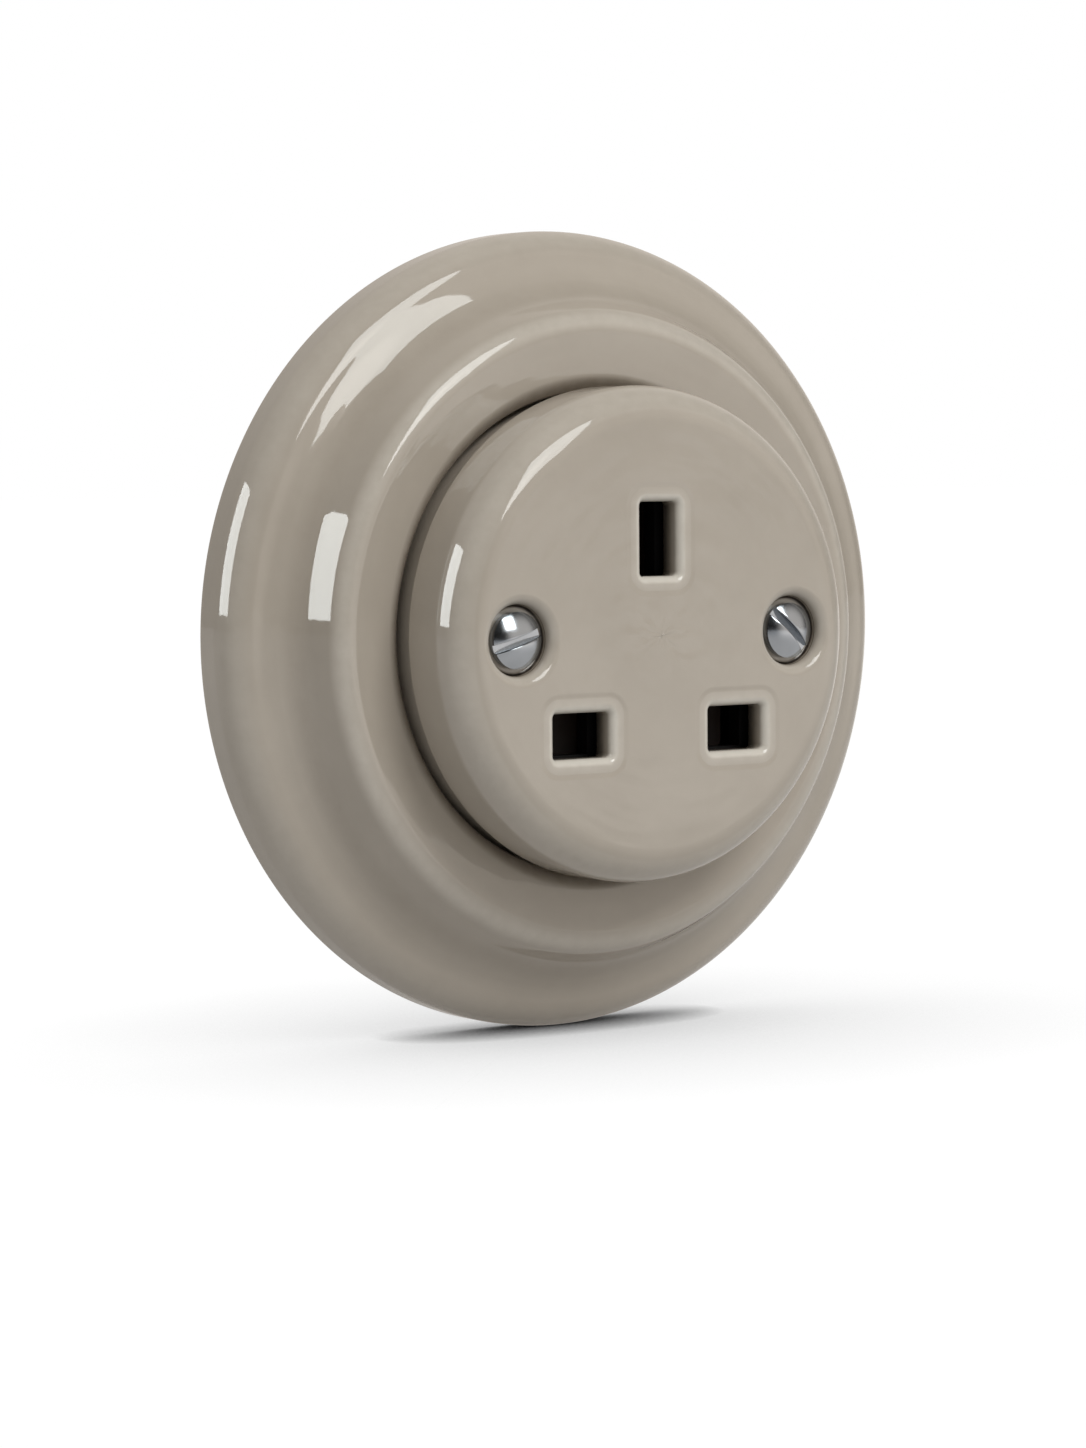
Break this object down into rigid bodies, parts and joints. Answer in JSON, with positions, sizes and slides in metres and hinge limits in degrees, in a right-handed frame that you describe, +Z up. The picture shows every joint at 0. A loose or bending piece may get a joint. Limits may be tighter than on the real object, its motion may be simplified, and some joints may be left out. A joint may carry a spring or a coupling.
{
  "type": "porcelain wall socket",
  "caption": "Round glazed porcelain flush wall socket for a three-pin plug, with a stepped frame ring, a raised cover disc, slotted cover screws and a shuttered insert",
  "frame": {"origin": "centre of the two box-screw slots on the wall plane, which is also the centre of the frame ring's back", "axes": "+Y into the wall, -Y out of the wall towards the plug, +X to the right and +Z up as seen from the front"},
  "size_m": [0.0944, 0.0409, 0.0944],
  "materials": {
    "glaze": "glossy taupe glaze",
    "plated_screw": "bright plated, slotted",
    "zinc_steel": "zinc plated",
    "spring_steel": "drawn wire",
    "brass": "machined",
    "contact_brass": "rolled strip",
    "black_moulding": "moulded thermoset",
    "shutter_moulding": "moulded"
  },
  "bodies": {
    "socket": {"frame_ring": "glaze", "cover": "glaze", "cover_screw_left": "plated_screw", "cover_screw_right": "plated_screw", "mounting_ring": "zinc_steel", "screw_pillar_left": "brass", "screw_pillar_right": "brass", "socket_base": "black_moulding", "shutter_housing": "black_moulding", "shutter_spring": "spring_steel", "line_contact": "contact_brass", "neutral_contact": "contact_brass", "earth_contact": "contact_brass", "line_terminal": "brass", "neutral_terminal": "brass", "earth_terminal": "brass", "line_terminal_screw": "zinc_steel", "neutral_terminal_screw": "zinc_steel", "earth_terminal_screw": "zinc_steel", "earth_strap": "contact_brass", "strap_rivet": "zinc_steel", "base_rivets": "zinc_steel", "housing_screws": "zinc_steel"},
    "shutter": {"shutter": "shutter_moulding"}
  },
  "joints": [
    {"name": "shutter_slide", "type": "slide", "parent": "socket", "child": "shutter", "axis": [0, 0, 1], "range_m": [0, 0.0049], "stiffness_N_per_m": 80, "springref_m": -0.006, "deforming": ["shutter_spring"]}
  ]
}
